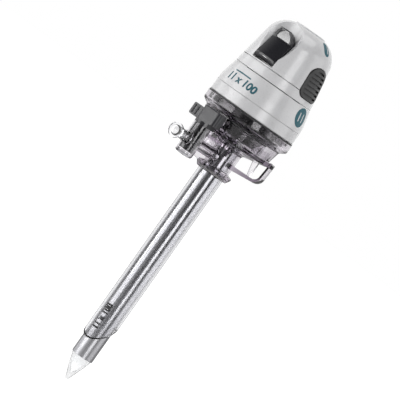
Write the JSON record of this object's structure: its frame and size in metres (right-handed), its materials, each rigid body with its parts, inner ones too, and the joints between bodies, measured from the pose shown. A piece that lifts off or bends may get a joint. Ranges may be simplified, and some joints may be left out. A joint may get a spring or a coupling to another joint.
{
  "type": "laparoscopic trocar",
  "caption": "Bladeless surgical port: domed obturator handle with scope lock and release buttons, seal cap, clear stopcock housing and bevelled cannula sleeve.",
  "frame": {"origin": "on the cannula's axis at the mouth of the hub, where the sleeve comes out of the valve housing", "axes": "+Z along the cannula towards the handle, -Y to the front, where the stopcock, the luer port and the scope lock lever are, X across the two release buttons"},
  "size_m": [0.049, 0.0703, 0.2063],
  "materials": {
    "smoke_clear": "smoke-grey clear polycarbonate, polished",
    "clear": "clear polycarbonate, polished",
    "black_rubber": "black silicone rubber",
    "dark_plastic": "dark grey moulded plastic",
    "lever_plastic": "charcoal moulded plastic, satin",
    "button_plastic": "dark grey moulded plastic, fine matte",
    "white_plastic": "pearl white moulded plastic, glossy",
    "seal_film": "thin milky elastomer",
    "seal_rubber": "amber-grey polyisoprene rubber",
    "steel": "plain spring steel",
    "shaft": "polished tube",
    "tip_plastic": "milky translucent plastic"
  },
  "bodies": {
    "root": {"valve_housing": "smoke_clear", "cannula_sleeve": "clear", "sleeve_o_ring": "black_rubber", "duckbill_valve": "black_rubber", "duckbill_retainer": "dark_plastic", "rim_gasket": "black_rubber", "detent_pads": "black_rubber", "stopcock_end_cap": "clear", "luer_fitting": "clear"},
    "stopcock": {"stopcock_key": "dark_plastic"},
    "seal_cap": {"seal_lock_ring": "white_plastic", "seal_cap_shell": "white_plastic", "seal_crown": "white_plastic", "seal_protector": "seal_film", "instrument_seal": "seal_rubber", "seal_bellows": "seal_rubber", "seal_retainer": "white_plastic"},
    "obturator": {"handle_base": "white_plastic", "handle_cap": "white_plastic", "scope_guide": "dark_plastic", "lever_pin": "steel", "scope_clamp_pad": "dark_plastic", "shaft_clamp": "white_plastic", "obturator_shaft": "shaft", "obturator_tip": "tip_plastic", "button_spring_right": "steel", "button_spring_left": "steel"},
    "lever": {"scope_lock_lever": "lever_plastic"},
    "button_right": {"release_button_right": "button_plastic"},
    "button_left": {"release_button_left": "button_plastic"}
  },
  "joints": [
    {"name": "seal_cap_turn", "type": "hinge", "parent": "root", "child": "seal_cap", "pos_m": [0, 0, 0.034], "axis": [0, 0, 1], "range_deg": [0, 25]},
    {"name": "obturator_slide", "type": "slide", "parent": "seal_cap", "child": "obturator", "axis": [0, 0, 1], "range_m": [0, 0.178]},
    {"name": "stopcock_turn", "type": "hinge", "parent": "root", "child": "stopcock", "pos_m": [0, -0.0292, 0.0087], "axis": [0, 0, 1], "range_deg": [0, 90]},
    {"name": "scope_lock_swing", "type": "hinge", "parent": "obturator", "child": "lever", "pos_m": [0, -0.01751, 0.062], "axis": [1, 0, 0], "range_deg": [0, 70]},
    {"name": "button_right_press", "type": "slide", "parent": "obturator", "child": "button_right", "axis": [-1, 0, 0], "range_m": [0, 0.0015], "stiffness_N_per_m": 800, "springref_m": -0.001, "deforming": ["button_spring_right"]},
    {"name": "button_left_press", "type": "slide", "parent": "obturator", "child": "button_left", "axis": [1, 0, 0], "range_m": [0, 0.0015], "stiffness_N_per_m": 800, "springref_m": -0.001, "deforming": ["button_spring_left"]}
  ]
}
